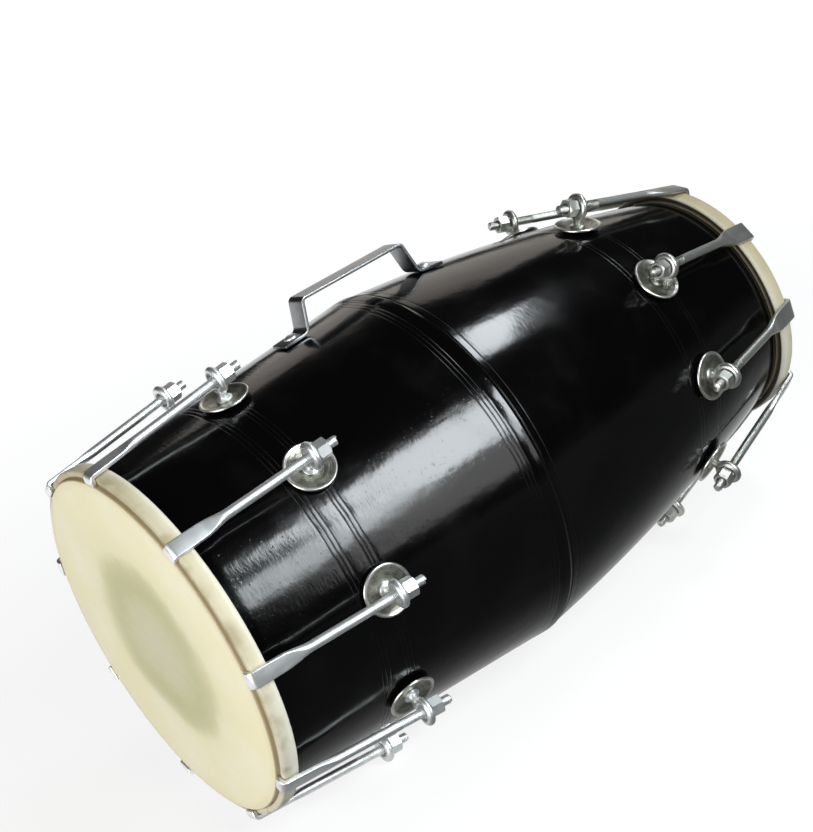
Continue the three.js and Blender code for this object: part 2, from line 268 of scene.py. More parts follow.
class Finish:
    def __init__(self, name):
        self.material = bpy.data.materials.new(name)
        self.material.use_nodes = True
        self.tree = self.material.node_tree
        self.tree.nodes.clear()

    def node(self, kind, sockets=None, outlet=0, **settings):
        made = self.tree.nodes.new("ShaderNode" + kind)
        for key, value in settings.items():
            setattr(made, key, value)
        for key, value in (sockets or {}).items():
            if isinstance(value, Wire):
                self.tree.links.new(value.socket, made.inputs[key])
            else:
                made.inputs[key].default_value = value
        return Wire(self, made.outputs[outlet]) if made.outputs else None

    def outlets(self, wire, *names):
        return [Wire(self, wire.socket.node.outputs[name]) for name in names]

    def mix(self, share, first, second):
        colours = {0: share, 6: colour(first), 7: colour(second)}
        return self.node("Mix", colours, 2, data_type="RGBA")

    def object_space(self):
        return self.node("TexCoord", outlet="Object")

    def drum_space(self):
        """Millimetres along X from mid-drum, with the drum's axis on X."""
        back = DRUM.inverted()
        return self.node("Mapping", {
            "Vector": self.object_space(), "Location": back.translation / MM,
            "Rotation": back.to_euler(), "Scale": (1 / MM,) * 3})

    def drum_parts(self):
        """Drum space, its x and z, and the distance from the drum's axis."""
        place = self.drum_space()
        x, y, z = self.outlets(self.node("SeparateXYZ", {"Vector": place}), *"XYZ")
        return place, x, z, self.length(self.node("CombineXYZ", {"Y": y, "Z": z}))

    def length(self, vector):
        return self.node("VectorMath", {0: vector}, "Value", operation="LENGTH")

    def noise(self, grain, detail, space, stretch=(1, 1, 1)):
        """A noise from 0 to 1, in patches about as wide as the grain, in millimetres."""
        scaled = self.node("Mapping", {
            "Vector": space, "Scale": [side / grain for side in stretch]})
        return self.node("TexNoise", {"Vector": scaled, "Scale": 1, "Detail": detail})

    def relief(self, *layers):
        """Tilts the surface as reliefs of the given depths, in millimetres, would."""
        normal = {}
        for height, depth in layers:
            normal = {"Normal": self.node("Bump", {
                "Height": height, "Strength": 1, "Distance": depth * MM, **normal})}
        return normal["Normal"]

    def close(self, **surface):
        """Ends the finish with one Principled surface, and returns the material."""
        sockets = {key.replace("_", " "): value for key, value in surface.items()}
        self.node("OutputMaterial", {"Surface": self.node("BsdfPrincipled", sockets)})
        print("Finish:", self.material.name, "with", len(self.tree.nodes), "nodes")
        return self.material


def colour(value):
    return value if isinstance(value, Wire) else (*value, 1)


# Near black for the painted shade in the gap between each hoop and the shell.
PAINTED_GAP_SHADE = (0.012, 0.010, 0.008)

# %% [markdown]
# ## Black lacquer
# The shell is painted with many coats of black and left glossy. It is not a perfect mirror: a
# brushed coat dries with a faint orange peel, and the grain leaves small pores. The paint is
# nearly black everywhere, so all of its life comes from relief and roughness. The relief is a
# slow ripple, a finer peel drawn out round the drum, and pores, most of them on the bass
# half. The cuts are left a little rough.

# %% Make the lacquer


def make_lacquer():
    f = Finish("black_lacquer")
    space = f.drum_space()
    place = f.node("SeparateXYZ", {"Vector": space}) + drum_length / 2
    ripple = f.noise(16, 2, space, (0.5, 1, 1))
    peel = f.noise(4, 2, space, (2.2, 0.8, 0.8))
    gritty = 1 - 0.8 * place.between(BELT[0], BELT[1] + 20)
    pores = f.noise(2.1, 1, space).between(0.66, 0.82) * gritty
    wear = f.noise(38, 3, space).between(0.45, 0.75)
    relief = f.relief((ripple, 0.24), (peel, 0.038), (pores, 0.03))
    base = f.mix(wear, (0.0011, 0.0010, 0.0011), (0.0022, 0.0020, 0.0018))
    cuts = sum(1 - abs(place - centre).between(0.2, 0.55) for centre, _ in GROOVES)
    rough = 0.13 + 0.06 * wear + 0.08 * pores + 0.15 * cuts
    return f.close(Base_Color=base, Roughness=rough, IOR=1.38, Normal=relief)


lacquer = make_lacquer()

# %% [markdown]
# ## Goatskin
# A drum head is thin rawhide: cream, a little warmer in patches, with faint pores. Behind the
# bass head lies a disc of tuning paste, which shows through as a soft olive ring with a paler
# middle. It is drawn from the distance to the drum's axis, made ragged by noise. Where the
# skin dives under the hoop, a thin dark line of grime and painted shade marks the crease. Its
# tail behind the hoop is painted near black, a painted shade in the gap between hoop and shell.

# %% Make the two goatskins


def make_goatskin(name):
    f = Finish(name + "_goatskin")
    place, x, z, radius = f.drum_parts()
    depth = drum_length / 2 - ENDS[name]["facing"] * x
    blotch = f.noise(46, 3, place, (0, 1, 1))
    fleck = f.noise(7, 3, place, (0, 1, 1))
    pore = f.noise(1.1, 2, place)
    skin = f.mix(blotch.between(0.35, 0.7), (0.84, 0.78, 0.51), (0.87, 0.82, 0.61))
    skin = f.mix(fleck.between(0.55, 0.8) * 0.3, skin, (0.76, 0.69, 0.46))
    # The tail behind the hoop is painted near black: painted shade in the gap between hoop and
    # shell.
    tail = depth.between(HOOP_REAR - 5, HOOP_REAR - 2.5)
    skin = f.mix(tail * 0.95, skin, PAINTED_GAP_SHADE)
    if name == "bass":
        ragged = radius + 18 * (blotch - 0.5) + 6 * (fleck - 0.5)
        skin = f.mix(0.6 * (1 - ragged.between(48, 92)), skin, (0.72, 0.68, 0.42))
        shade = 1 - ragged.between(40, 68)
        skin = f.mix(shade * (0.6 + 0.25 * fleck), skin, (0.47, 0.455, 0.245))
        middle = 1 - ragged.between(6, 46)
        skin = f.mix(middle * 0.6, skin, (0.62, 0.58, 0.43))
        arcs = ragged.between(26, 46) * (1 - ragged.between(52, 66)) * abs(z).between(-30, 60)
        skin = f.mix(arcs * 0.4, skin, (0.40, 0.39, 0.18))
    edge = rim_radius(ENDS[name]) + GAP + SKIN
    skin = f.mix(radius.between(edge - 7, edge - 1) * 0.35, skin, (0.70, 0.60, 0.38))
    # A thin dark line at the face's edge: grime, and painted shade in the crease by the hoop.
    grime_and_crease_shade = (radius + 0.8 * (pore - 0.5)).between(edge - 1.2, edge - 0.1)
    skin = f.mix(grime_and_crease_shade * 0.7 * (1 - depth.between(2, 5)), skin, (0.30, 0.21, 0.10))
    return f.close(Base_Color=skin, Roughness=0.42 + 0.16 * blotch, IOR=1.45,
                   Subsurface_Weight=0.12, Subsurface_Radius=(0.004, 0.0028, 0.0014),
                   Subsurface_Scale=0.3, Normal=f.relief((fleck, 0.25), (pore, 0.05)))


GOATSKINS = {name: make_goatskin(name) for name in ENDS}

# %% [markdown]
# ## Lapped hoop
# The edge of the skin is wrapped round an iron hoop while it is wet, so the hoop looks like
# rawhide too. Its front is darker, partly a stain from the hooks and partly painted shade next
# to the skin. Its upper side is browner, and its underside is painted paler, as if more light
# fell there. Its rear edge is paler, a painted highlight. The inner part of its rear face is
# painted near black, a painted shade in the gap to the shell. Depth behind the playing face
# and height on the drum place these marks.

# %% Make the hoop finish


def make_hoop_finish(name, pale, olive, rear_highlight_tone):
    f = Finish(name + "_hoop_hide")
    place, x, z, radius = f.drum_parts()
    hoop = ENDS[name]["hoop"]
    depth = drum_length / 2 - ENDS[name]["facing"] * x
    crease = f.noise(5, 3, place, (2.2, 0.6, 0.6))
    blotch = f.noise(24, 2, place)
    pore = f.noise(0.9, 2, place)
    hide = f.mix(blotch.between(0.3, 0.7), pale, olive)
    stain = f.noise(17, 2, place).between(0.45, 0.7)
    uneven = depth + 2.4 * (crease - 0.5)
    # Darker towards the front: partly a stain from the hooks, partly painted shade next to the
    # skin.
    front = 1 - uneven.between(HOOP_SET_BACK + 1.5, HOOP_SET_BACK + 11)
    hide = f.mix(stain * 0.25, hide, (0.60, 0.50, 0.36))
    hide = f.mix(z.between(-70, 110) * 0.3, hide, (0.46, 0.36, 0.20))
    # Paler towards the bottom: painted light, as if more light fell on the underside.
    hide = f.mix((1 - z.between(-60, 60)) * 0.75, hide, (0.92, 0.90, 0.80))
    hide = f.mix(front * (0.45 + 0.4 * stain), hide, (0.36, 0.30, 0.17))
    # Paler rear edge: a painted highlight.
    rear = depth.between(HOOP_REAR - 4, HOOP_REAR - 1.5)
    hide = f.mix(rear * 0.55, hide, rear_highlight_tone)
    # Inner rear face near black: painted shade in the gap to the shell.
    painted = depth.between(HOOP_REAR - 1.2, HOOP_REAR - 0.5)
    painted = painted * (1 - radius.between(hoop - 1.6, hoop - 0.6))
    hide = f.mix(painted * 0.95, hide, PAINTED_GAP_SHADE)
    return f.close(Base_Color=hide, Roughness=0.45 + 0.2 * crease, IOR=1.45,
                   Normal=f.relief((crease, 0.35), (pore, 0.06)))


# Per end: the pale tone, the olive tone, and the tone of the painted highlight on the rear
# edge.
HIDE_TONES = {"bass": [(0.82, 0.79, 0.63), (0.72, 0.68, 0.49), (0.80, 0.77, 0.66)],
              "treble": [(0.42, 0.38, 0.26), (0.34, 0.31, 0.20), (0.46, 0.43, 0.34)]}
HIDES = {name: make_hoop_finish(name, *tones) for name, tones in HIDE_TONES.items()}

# %% [markdown]
# ## Plated and chromed steel
# The tuning hardware is steel with a satin nickel plate. Handling leaves a warm grey bloom,
# and the plating follows the marks of the tools under it. The treble end is duller, and the
# handle's plating is given a dark colour, a painted shade for the dim room that it mirrors:
# the same steps with other amounts. The washers' finish follows each point's reach from the
# middle, which the mesh stores.

# %% Make the metals


def make_plate(name, bright, dull, rough, bloom, scratch):
    f = Finish(name)
    place = f.drum_space()
    cloud = f.noise(6, 3, place)
    spots = f.noise(1.3, 2, place).between(0.6, 0.72)
    marks = f.noise(0.8, 1, place, (0.15, 1, 1))
    plate = f.mix(cloud.between(0.45, 0.75) * bloom, bright, dull)
    plate = f.mix(spots * bloom * 0.6, plate, tuple(0.55 * part for part in dull))
    return f.close(Base_Color=plate, Metallic=1.0,
                   Roughness=rough + 0.08 * cloud.between(0.4, 0.8) + 0.06 * spots,
                   Normal=f.relief((cloud, 0.05), (marks, scratch)))


nickel = make_plate("nickel_plate", (0.89, 0.91, 0.91), (0.60, 0.61, 0.58), 0.44, 0.4, 0.006)
dull_nickel = make_plate("dull_nickel_plate", (0.56, 0.57, 0.54), (0.36, 0.36, 0.31), 0.38,
                         0.6, 0.008)
# The handle's dark colour is painted shade, for the dim room that its plating mirrors.
shaded_chrome = make_plate("shaded_chrome_plate", (0.33, 0.34, 0.35), (0.24, 0.25, 0.25), 0.3, 0.2, 0.003)


def make_pressed_plate():
    """Dull inside, with the rings of the press, and rubbed bright along the rim."""
    f = Finish("pressed_nickel_plate")
    place = f.drum_space()
    reach = f.node("Attribute", outlet="Fac", attribute_name="reach")
    cloud, spots = f.noise(5, 3, place), f.noise(1.4, 2, place).between(0.5, 0.7)
    swirl = reach * 4.2 + 2 * cloud
    rings = 0.5 + 0.5 * swirl.maths("SINE", swirl)
    rim = reach.between(13.2, 14.6)
    plate = f.mix(cloud.between(0.35, 0.7), (0.44, 0.44, 0.39), (0.19, 0.19, 0.145))
    plate = f.mix(spots * 0.6, plate, (0.12, 0.12, 0.09))
    plate = f.mix(rings * 0.3, plate, (0.20, 0.20, 0.16))
    plate = f.mix(rim, plate, (0.78, 0.77, 0.72))
    return f.close(Base_Color=plate, Metallic=1.0, Roughness=0.42 + 0.1 * spots - 0.12 * rim,
                   Normal=f.relief((cloud, 0.15), (rings, 0.04)))


pressed_nickel = make_pressed_plate()

# %% [markdown]
# ## The shell
# The shell is turned from one block of wood. A narrow sloped belt marks the belly, fine
# grooves are cut beside it, and more run round the drum under the tuning eyes. The outline is
# the CAD outline with those cuts. A groove is a shallow rounded dip, just over one millimetre
# wide, so it needs more points than the plain arcs.

# %% Turn the shell with its belt and grooves
OUTLINE_STEP, GROOVE_STEP, GROOVE_POINTS = 4, 0.13, range(-5, 6)
BELT_FOOT = (BELT[0] - 0.3, BELT[1] + 0.5)
INNER_PLACES = range(440, 30, -20)


def surface_at(place):
    """The shell's radius and slope at a place counted from the bass face."""
    if place < BELLY_PLACE:
        return shell_curve(ENDS["bass"], place)
    radius, slope = shell_curve(ENDS["treble"], drum_length - place)
    return radius, -slope


def cut_radius(place):
    radius = surface_at(place)[0]
    if BELT[0] <= place <= BELT[1]:
        radius = BELLY_RADIUS + BELT_STEP + BELT_SLOPE * (place - BELLY_PLACE)
    for centre, depth in GROOVES:
        away = abs(place - centre) / GROOVE_REACH
        if away < 1:
            radius -= depth * (0.5 + 0.5 * math.cos(math.pi * away))
    return radius


def shell_outline():
    first, last = RIM_DEPTH, drum_length - RIM_DEPTH
    steps = int((last - first) / OUTLINE_STEP)
    places = [first + OUTLINE_STEP * n for n in range(steps + 1)] + [last]
    for centre, _ in GROOVES:
        places = [p for p in places if abs(p - centre) > GROOVE_REACH]
        places += [centre + GROOVE_STEP * n for n in GROOVE_POINTS]
    places = [p for p in places if not BELT_FOOT[0] < p < BELT_FOOT[1]] + [*BELT_FOOT, *BELT]
    outer = [(p, cut_radius(p)) for p in sorted(set(round(p, 3) for p in places))]
    inner = [(p, surface_at(p)[0] - WALL) for p in INNER_PLACES]
    face, tail = SKIN + GAP, drum_length - SKIN - GAP
    bass, treble = (rim_radius(end) for end in ENDS.values())
    return [(face, bass - WALL), (face, bass), (first, bass), *outer, (last, treble),
            (tail, treble), (tail, treble - WALL), (last, treble - WALL), *inner,
            (first, bass - WALL)]


shell_body = meshed(turned(shell_outline(), 176, closed=True), "shell_body", 50)
shell = settle(shell_body, "turned_shell", DRUM_FRAME, lacquer, "lacquered_wood", "drum",
               "shell")
print("Shell faces:", len(shell.data.polygons))

# %% [markdown]
# ## Heads and hoops
# A head is pulled over the rim, so its flat face ends in a rounded shoulder and a skirt. The
# hoop is a band with rounded corners. Both are turned, and a bevel softens their corners, as
# a wet skin dries over an edge.

# %% Turn the heads and the hoops


def make_head(name):
    end = ENDS[name]
    inside = rim_radius(end) + GAP
    outside = inside + SKIN
    shape = turned([(0, 0), (0, outside * 0.5), (0, outside), (HOOP_REAR, outside),
                    (HOOP_REAR, inside), (SKIN, inside), (SKIN, inside * 0.5), (SKIN, 0)],
                   160)
    cleaned(shape)
    brow = [edge for edge in shape.edges
            if all(vert.co.x < 1e-4 and math.hypot(vert.co.y, vert.co.z) > outside - 0.01
                   for vert in edge.verts)]
    bmesh.ops.bevel(shape, geom=brow, offset=1.15, segments=5, profile=0.5, affect="EDGES",
                    material=-1)
    mesh = meshed(shape, name + "_head_body", 40)
    return settle(mesh, name + "_goatskin_head", end_frame(name), GOATSKINS[name],
                  "goatskin", "drum", name + "_skin")


def make_hoop(name):
    outside = ENDS[name]["hoop"]
    inside = outside - HOOP_THICKNESS
    shape = turned([(HOOP_SET_BACK, inside), (HOOP_REAR, inside), (HOOP_REAR, outside),
                    (HOOP_SET_BACK, outside)], 160, closed=True)
    cleaned(shape)
    corners = [edge for edge in shape.edges if edge.calc_face_angle() > math.radians(40)]
    bmesh.ops.bevel(shape, geom=corners, offset=1.5, segments=4, profile=0.5, affect="EDGES",
                    material=-1, clamp_overlap=True)
    mesh = meshed(shape, name + "_hoop_body", 60)
    return settle(mesh, name + "_lapped_hoop", end_frame(name), HIDES[name], "lapped_hoop",
                  "drum", name + "_hoop")


for make in (make_head, make_hoop):
    for name in ENDS:
        piece = make(name)
        print(piece.name, "faces:", len(piece.data.polygons))

# %% [markdown]
# ## Tuning paste
# A disc of dark paste is stuck behind the bass head to weigh it down. It is hidden, but it is
# a real piece of the drum: a low dome with a thin edge.

# %% Turn the disc of paste


def make_paste_finish():
    f = Finish("tuning_paste")
    place = f.drum_space()
    crumb, swirl = f.noise(2.2, 3, place), f.noise(15, 2, place)
    tone = f.mix(swirl, (0.018, 0.017, 0.015), (0.045, 0.043, 0.036))
    return f.close(Base_Color=tone, Roughness=0.55 + 0.2 * crumb,
                   Normal=f.relief((crumb, 0.2)))


under = SKIN + PASTE_RISE
paste_shape = turned([(SKIN, 0), (SKIN, PASTE_RADIUS), (SKIN + 0.6, PASTE_RADIUS - 0.4),
                      (under - 0.8, PASTE_RADIUS - 3.4), (under, PASTE_RADIUS - 5),
                      (under, 0)], 96)
paste = settle(meshed(paste_shape, "paste_body"), "tuning_paste_disc", DRUM_FRAME,
               make_paste_finish(), "goatskin", "drum")
print("Paste faces:", len(paste.data.polygons))

# %% [markdown]
# ## The line of a hook
# Every hook runs from its eye to the outer corner of the hoop. Its line fixes where the eye,
# the nut, the rod and the blade lie, so it is worked out once for each end, as in the CAD.

# %% Work out the two hook lines


def hook_line(name):
    end = ENDS[name]
    radius, rise = shell_curve(end, end["eye"])
    lean = math.atan(rise)
    normal = Vector((-math.sin(lean), math.cos(lean)))
    foot = Vector((end["eye"], radius))
    eye = foot + EYE_HEIGHT * normal
    to_eye = eye - Vector((HOOP_SET_BACK, end["hoop"]))
    lift = math.asin((BLADE_SHEET / 2 + GAP) / to_eye.length)
    slope = math.atan2(to_eye.y, to_eye.x) - lift
    inward = Vector((math.cos(slope), math.sin(slope)))
    return {"lean": lean, "normal": normal, "foot": foot, "eye": eye, "slope": slope,
            "inward": inward}


LINES = {name: hook_line(name) for name in ENDS}
for name, line in LINES.items():
    print(name, "hook slope, degrees:", round(math.degrees(line["slope"]), 2))


def axis_frame(start, direction):
    """Carries X onto a direction of the XZ plane, and the origin onto a start in it."""
    turn = Matrix.Rotation(-math.atan2(direction.y, direction.x), 4, "Y")
    return Matrix.Translation((start.x, 0, start.y)) @ turn


# %% [markdown]
# ## Skinning a bar through sections
# The hook starts as a round rod, is hammered flat, and is bent over at its end. A ring of
# vertices is extruded from section to section. Each vertex remembers its angle in an
# attribute, so the same ring can be laid out as a circle or as a rectangle with round corners.

# %% Extrude a ring from section to section
RING = 24


def lay_ring(ring, turn, section):
    (x, z), heading, half_width, half_sheet, corner = section
    for vert in ring:
        angle = vert[turn]
        quarter = int(angle // (math.pi / 2))
        local = angle - quarter * math.pi / 2
        arc = quarter * math.pi / 2 + local * (RING / 4) / (RING / 4 - 1)
        side = (1, -1, -1, 1)[quarter] * (half_width - corner)
        rise = (1, 1, -1, -1)[quarter] * (half_sheet - corner)
        across = side + corner * math.cos(arc)
        up = rise + corner * math.sin(arc)
        vert.co = (x - up * math.sin(heading), across, z + up * math.cos(heading))


def edges_of(verts):
    return list({edge for vert in verts for edge in vert.link_edges})


def extruded(shape, edges):
    grown = bmesh.ops.extrude_edge_only(shape, edges=edges)["geom"]
    return [[item for item in grown if isinstance(item, kind)]
            for kind in (bmesh.types.BMVert, bmesh.types.BMEdge)]


def skinned(shape, sections):
    turn = shape.verts.layers.float.new("turn")
    ring = bmesh.ops.create_circle(shape, radius=1, segments=RING)["verts"]
    for vert in ring:
        angle = math.atan2(vert.co.y, vert.co.x) % (2 * math.pi)
        vert[turn] = round(angle * RING / (2 * math.pi)) % RING * 2 * math.pi / RING
    first, edges = list(ring), edges_of(ring)
    lay_ring(ring, turn, sections[0])
    for section in sections[1:]:
        ring, edges = extruded(shape, edges)
        lay_ring(ring, turn, section)
    for loop in (first, ring):
        rim = [edge for edge in edges_of(loop) if edge.is_boundary]
        bmesh.ops.holes_fill(shape, edges=rim, sides=0)


print("Ring of", RING, "vertices")

# %% [markdown]
# ## Cutting a thread
# The end of each rod carries a screw thread of one millimetre pitch. A zigzag of root, crest
# and root is spun round the axis while it moves one pitch per turn, so each turn meets the
# next. The last turn, at the rod's tip, is pushed in towards the root, as a die leaves it.

# %% Spin a screw thread
PITCH, STEPS_PER_TURN, ROOT_SHARE = 1, 16, 0.8


def thread(shape, start, end, radius):
    root = radius * ROOT_SHARE
    turns = round((end - start) / PITCH) - 1
    outline = [shape.verts.new((start + share * PITCH, 0, height))
               for share, height in ((0, root), (0.4, radius), (0.6, radius), (1, root))]
    edges = [shape.edges.new(pair) for pair in zip(outline, outline[1:])]
    drift = Vector((PITCH / STEPS_PER_TURN, 0, 0))
    bmesh.ops.spin(shape, geom=outline + edges, cent=(0, 0, 0), axis=(1, 0, 0), dvec=drift,
                   angle=2 * math.pi * turns, steps=STEPS_PER_TURN * turns)
    bmesh.ops.remove_doubles(shape, verts=shape.verts, dist=0.02)
    rim = [edge for edge in shape.edges if edge.is_boundary]
    bmesh.ops.holes_fill(shape, edges=rim, sides=0)
    for vert in shape.verts:
        reach = math.hypot(vert.co.y, vert.co.z)
        limit = root + max(0, end - PITCH * 0.2 - vert.co.x) * 0.75
        if reach > limit > 0:
            vert.co.y, vert.co.z = vert.co.y * limit / reach, vert.co.z * limit / reach


print("Thread pitch, mm:", PITCH)

# %% [markdown]
# ## The tension hooks
# A hook starts as a rod with a thread on its inner end. Its outer end is flared and pressed
# into a flat blade, and the tip is bent over the hoop. The sections walk from the shank to
# the tip. The bend is an arc from the hook's own line to straight down. The blade swells a
# little towards it, and the last sections round off its end.

# %% Model one hook for each end
THREAD_LENGTH, FLARE_STEPS, BEND_STEPS = 36, 8, 7
BLADE_CORNER, BLADE_SWELL, INNER_BEND = 0.8, 0.25, 0.9


def hook_sections(name):
    line, hoop = LINES[name], ENDS[name]["hoop"]
    half_sheet, half_blade, rod = BLADE_SHEET / 2, ENDS[name]["blade"] / 2, ROD / 2
    lip_x = HOOP_SET_BACK - GAP - half_sheet
    lip_end = hoop - HOOP_THICKNESS + GAP
    slope, eye, inward = line["slope"], line["eye"], line["inward"]
    bend = half_sheet + INNER_BEND
    start_x = lip_x + bend - bend * math.sin(slope)
    start_z = eye.y + (start_x - eye.x) * math.tan(slope)
    centre = Vector((lip_x + bend, start_z - bend * math.cos(slope)))
    tip = eye + inward * (EYE_WIRE / 2 + GAP + NUT_DEPTH + STUB)
    shank = tip - inward * (THREAD_LENGTH - 1)
    corner = Vector((start_x, start_z))
    flare_end = corner + inward * BLADE
    flare_start = flare_end + inward * FLARE
    heading = math.pi + slope
    sections = [(shank, heading, rod * 0.86, rod * 0.86, rod * 0.86),
                (shank - inward * 0.5, heading, rod, rod, rod)]
    for n in range(FLARE_STEPS + 1):
        share = n / FLARE_STEPS
        ease = share * share * (3 - 2 * share)
        half_width = rod + (half_blade - rod) * ease
        sheet = rod + (half_sheet - rod) * min(1, ease * 1.15)
        round_corner = min(sheet, sheet + (BLADE_CORNER - sheet) * ease)
        sections.append((flare_start.lerp(flare_end, share), heading, half_width, sheet,
                         round_corner))
    wide = half_blade + BLADE_SWELL
    sections.append((corner.lerp(flare_end, 0.5), heading, wide, half_sheet, BLADE_CORNER))
    sweep = math.pi / 2 - slope
    for n in range(BEND_STEPS + 1):
        turn = heading + sweep * n / BEND_STEPS
        out = Vector((math.sin(turn), -math.cos(turn))) * bend
        sections.append((centre + out, turn, wide, half_sheet, BLADE_CORNER))
    down = heading + sweep
    last = Vector((lip_x, lip_end))
    sections += [(last + Vector((0, 0.7)), down, wide, half_sheet, BLADE_CORNER),
                 (last + Vector((0, 0.2)), down, wide - 0.35, half_sheet - 0.3, 0.6),
                 (last, down, wide - 0.9, half_sheet - 0.7, 0.5)]
    return sections, tip


def hook_mesh(name):
    sections, tip = hook_sections(name)
    shape = bmesh.new()
    thread(shape, -THREAD_LENGTH, 0, ROD / 2)
    bmesh.ops.transform(shape, matrix=axis_frame(tip, LINES[name]["inward"]),
                        verts=shape.verts)
    skinned(shape, sections)
    return meshed(shape, name + "_hook_body", 38)


HOOK_MESHES = {name: hook_mesh(name) for name in ENDS}
print("Hook faces:", len(HOOK_MESHES["bass"].polygons))

# %% [markdown]
# ## Hexagonal nuts
# A nut is cut from a hexagonal bar, and a cone takes off its corners at both ends. The cone
# meets each flat in a curved line, which is what makes a nut look machined. A circle of
# vertices is extruded up the nut, and each vertex is pushed out to the hexagon.

# %% Model a nut with chamfered corners and a bore
NUT_SIDES, CHAMFER, HEXAGON = 60, math.tan(math.radians(30)), None


def hex_reach(angle, across):
    local = (angle + math.pi / 6) % (math.pi / 3) - math.pi / 6
    return across / 2 / math.cos(local)


def nut_mesh(name, across, depth, bore):
    shape = bmesh.new()
    angles = shape.verts.layers.float.new("angle")
    crown, mouth = across / 2 * 0.95, bore / 2 + 0.5
    rings = []
    ring = bmesh.ops.create_circle(shape, radius=1, segments=NUT_SIDES)["verts"]
    edges = edges_of(ring)
    for vert in ring:
        vert[angles] = math.atan2(vert.co.y, vert.co.x)
    rows = [(bore / 2, 0.5), (mouth, 0), (crown, 0), (HEXAGON, 0), (HEXAGON, depth),
            (crown, depth), (mouth, depth), (bore / 2, depth - 0.5)]
    for count, (radius, x) in enumerate(rows):
        if count:
            ring, edges = extruded(shape, edges)
        rings.append(edges)
        for vert in ring:
            reach, fall = radius, 0
            if radius is HEXAGON:
                reach = hex_reach(vert[angles], across)
                fall = (reach - crown) * CHAMFER
            vert.co = (x - fall if x else fall, reach * math.cos(vert[angles]),
                       reach * math.sin(vert[angles]))
    bmesh.ops.bridge_loops(shape, edges=rings[0] + rings[-1])
    return meshed(shape, name, 22)


nut_body = nut_mesh("tension_nut_body", NUT_WIDTH, NUT_DEPTH, BORE)
inner_nut_body = nut_mesh("inner_nut_body", INNER_NUT_WIDTH, INNER_NUT_DEPTH, SHANK)
print("Nut faces:", len(nut_body.polygons))

# %% [markdown]
# ## Eyebolts
# An eyebolt is a ring on a threaded shank. The rod of the hook slides through the ring, and
# the shank goes through the washer and the wall of the shell. The ring is a circle spun about
# the line of the rod. A waisted neck joins it to the shank, with a small collar on the washer.

# %% Model one eyebolt for each end
NECK, COLLAR = 2.9, 5.2


def inner_nut_place(line):
    """How far under the shell's surface the inner nut begins."""
    return WALL / math.cos(line["lean"]) + 3 * GAP


def eyebolt_mesh(name):
    line = LINES[name]
    wire = EYE_WIRE / 2
    ring_radius = EYE_BORE / 2 + wire
    shape = bmesh.new()
    upright = Matrix.Translation((0, 0, ring_radius)) @ Matrix.Rotation(math.pi / 2, 4, "X")
    circle = bmesh.ops.create_circle(shape, radius=wire, segments=16, matrix=upright)["verts"]
    spun(shape, circle + edges_of(circle), 40)
    bmesh.ops.transform(shape, matrix=axis_frame(line["eye"], line["inward"]),
                        verts=shape.verts)
    cup, top = -GAP - CUP_SHEET, ring_radius - EYE_HEIGHT
    tail = inner_nut_place(line) + INNER_NUT_DEPTH / 2
    stem = turned([(top - 1, 0), (top - 0.4, NECK + 1.1), (top + 0.8, NECK + 0.5),
                   (top + 2, NECK), (cup - 2.2, NECK), (cup - 1.7, COLLAR - 0.5),
                   (cup - 1.3, COLLAR), (cup - 0.2, COLLAR), (cup - 0.05, COLLAR - 0.3),
                   (cup - 0.05, SHANK / 2), (tail - 0.6, SHANK / 2),
                   (tail, SHANK / 2 - 0.6), (tail, 0)], 28)
    bmesh.ops.transform(stem, matrix=axis_frame(line["foot"], -line["normal"]),
                        verts=stem.verts)
    spare = bpy.data.meshes.new("stem")
    stem.to_mesh(spare)
    stem.free()
    shape.from_mesh(spare)
    bpy.data.meshes.remove(spare)
    return meshed(shape, name + "_eyebolt_body", 45)


EYEBOLT_MESHES = {name: eyebolt_mesh(name) for name in ENDS}
print("Eyebolt faces:", len(EYEBOLT_MESHES["bass"].polygons))

# %% [markdown]
# ## Dished washers
# A wide cup of sheet metal spreads the pull over the wood. Its floor is flat, its wall rises
# all round, and its rim is rolled, so the rim shines while the inside stays dull. The outline
# is the section of that sheet, with a pressed step half way up the wall. Each vertex stores
# its reach from the middle for the finish.

# %% Turn the washer


def washer_mesh():
    floor, rim, hole = CUP_FLOOR / 2, CUP / 2, SHANK / 2 + 0.3
    top = -GAP - CUP_SHEET
    crest = top - CUP_RISE
    upper = [(top, hole), (top, floor - 1.2), (top - 0.25, floor), (top - 0.75, floor + 1.6),
             (top - 0.85, floor + 2.6), (top - 1.45, floor + 4.4), (top - 1.95, rim - 1.5),
             (crest, rim - 0.9), (crest + 0.1, rim - 0.35), (crest + 0.6, rim)]
    lower = [(-GAP - CUP_RISE, rim - 0.15), (-GAP - CUP_RISE + 0.3, rim - 0.9),
             (-GAP - 0.9, floor + 3.6), (-GAP - 0.1, floor + 0.6), (-GAP, floor - 0.4),
             (-GAP, hole)]
    shape = turned(upper + lower, 56, closed=True)
    mesh = meshed(shape, "washer_body", 50)
    reach = mesh.attributes.new("reach", "FLOAT", "POINT")
    reach.data.foreach_set("value", [math.hypot(vert.co.y, vert.co.z)
                                     for vert in mesh.vertices])
    return mesh


WASHER = washer_mesh()
print("Washer faces:", len(WASHER.polygons))

# %% [markdown]
# ## Setting the hardware round both heads
# Each hook, nut and eyebolt takes the place of one CAD node. Hooks and nuts ride on bodies of
# their own, because a turn of the nut draws its hook in. Washers and inner nuts belong to the
# drum itself. Nobody leaves all nuts at one angle, so each gets a turn of its own.

